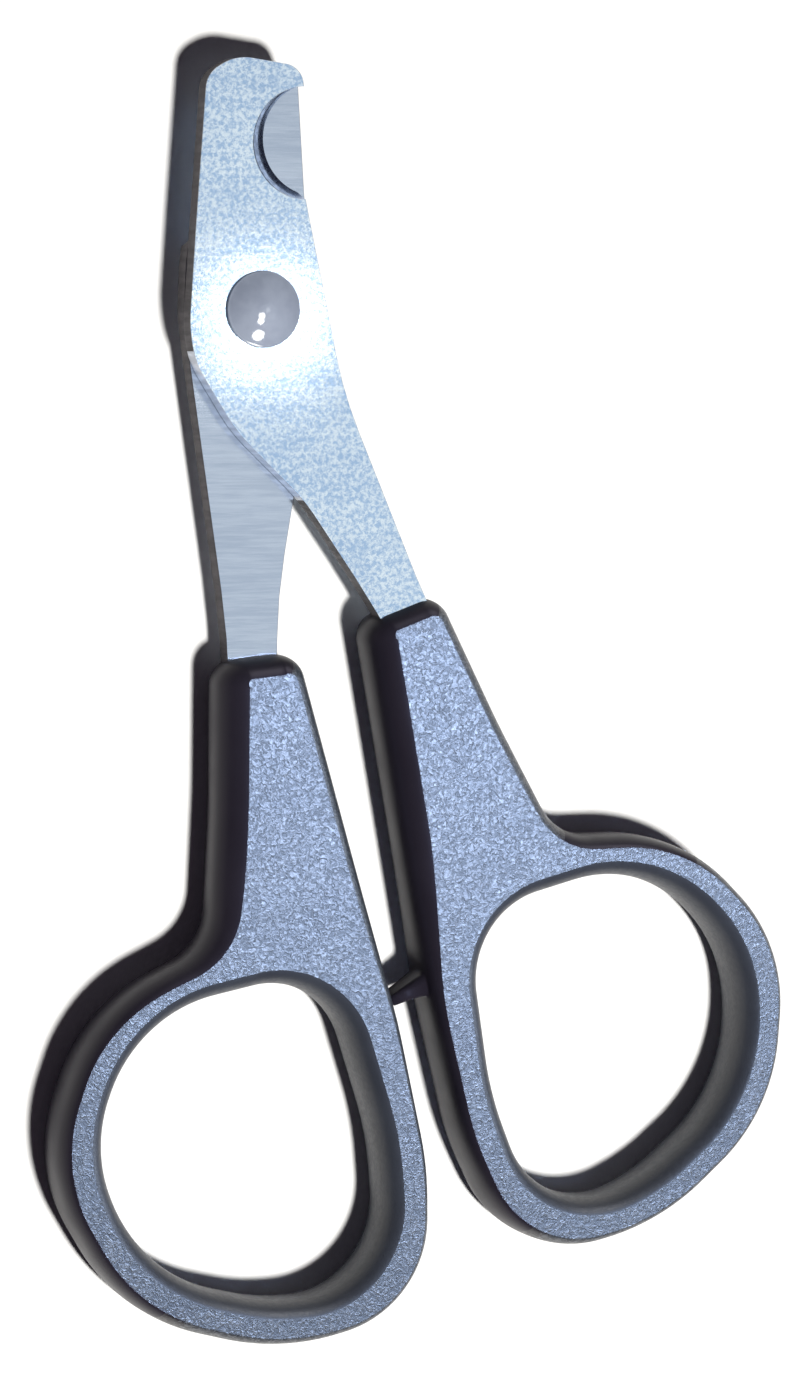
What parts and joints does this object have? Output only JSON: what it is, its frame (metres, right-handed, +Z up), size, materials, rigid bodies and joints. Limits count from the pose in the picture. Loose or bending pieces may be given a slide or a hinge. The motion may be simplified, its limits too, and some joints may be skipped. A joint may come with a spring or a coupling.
{
  "type": "scissor nail clipper",
  "caption": "Small pet nail clipper of scissor form: notched flat steel blades on a domed rivet, moulded handles with finger rings.",
  "frame": {"origin": "centre of the overall box in X and Y, on the face it lies on (Z = 0), with the clipper closed", "axes": "+Z up out of the flat face, on the side of the rivet's domed head; +Y from the finger rings to the blade tips; +X from the left handle to the right one"},
  "size_m": [0.0574, 0.0944, 0.006],
  "materials": {
    "rear_blade_steel": "brushed",
    "front_blade_steel": "satin",
    "rivet_steel": "dull polished",
    "handle_plastic": "spark textured faces, smooth sides"
  },
  "bodies": {
    "rear_lever": {"rear_blade": "rear_blade_steel", "left_handle": "handle_plastic", "pivot_rivet": "rivet_steel"},
    "front_lever": {"front_blade": "front_blade_steel", "right_handle": "handle_plastic"}
  },
  "joints": [
    {"name": "pivot", "type": "hinge", "parent": "rear_lever", "child": "front_lever", "pos_m": [-0.01282, 0.02898, 0.003], "axis": [0, 0, 1], "range_deg": [0, 50]}
  ]
}
